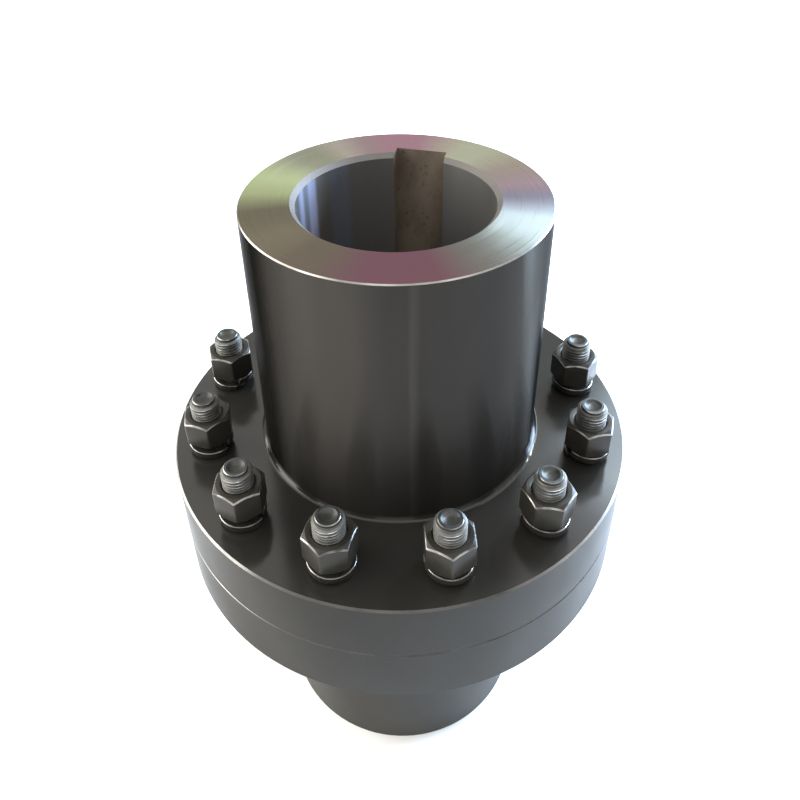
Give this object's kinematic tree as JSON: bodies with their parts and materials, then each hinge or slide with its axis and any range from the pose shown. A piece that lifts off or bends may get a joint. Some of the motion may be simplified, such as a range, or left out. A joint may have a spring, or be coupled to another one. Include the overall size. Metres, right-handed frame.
{
  "type": "rigid flange coupling",
  "caption": "Rigid shaft coupling of two keyed hubs whose flanges meet on a centring spigot and are held by a ring of fit bolts with spring washers and hexagon nuts.",
  "frame": {"origin": "on the shaft axis, in the plane where the two flanges meet; it is also the middle of the bounding box", "axes": "+Z along the shaft axis towards the half with the nuts; +Y through the middle of both keyways"},
  "size_m": [0.26, 0.26, 0.36],
  "materials": {
    "half_steel": "turned, blackened and oiled steel with a soft gloss",
    "bolt_steel": "blackened steel worn bright on the thread crests",
    "washer_steel": "blackened spring steel, oiled",
    "nut_steel": "black oxide, oiled, bright at the corners"
  },
  "bodies": {
    "root": {"upper_half": "half_steel", "lower_half": "half_steel", "bolt_1": "bolt_steel", "bolt_2": "bolt_steel", "bolt_3": "bolt_steel", "bolt_4": "bolt_steel", "bolt_5": "bolt_steel", "bolt_6": "bolt_steel", "bolt_7": "bolt_steel", "bolt_8": "bolt_steel", "bolt_9": "bolt_steel", "bolt_10": "bolt_steel", "bolt_11": "bolt_steel", "bolt_12": "bolt_steel", "spring_washer_1": "washer_steel", "spring_washer_2": "washer_steel", "spring_washer_3": "washer_steel", "spring_washer_4": "washer_steel", "spring_washer_5": "washer_steel", "spring_washer_6": "washer_steel", "spring_washer_7": "washer_steel", "spring_washer_8": "washer_steel", "spring_washer_9": "washer_steel", "spring_washer_10": "washer_steel", "spring_washer_11": "washer_steel", "spring_washer_12": "washer_steel", "nut_1": "nut_steel", "nut_2": "nut_steel", "nut_3": "nut_steel", "nut_4": "nut_steel", "nut_5": "nut_steel", "nut_6": "nut_steel", "nut_7": "nut_steel", "nut_8": "nut_steel", "nut_9": "nut_steel", "nut_10": "nut_steel", "nut_11": "nut_steel", "nut_12": "nut_steel"}
  },
  "joints": []
}
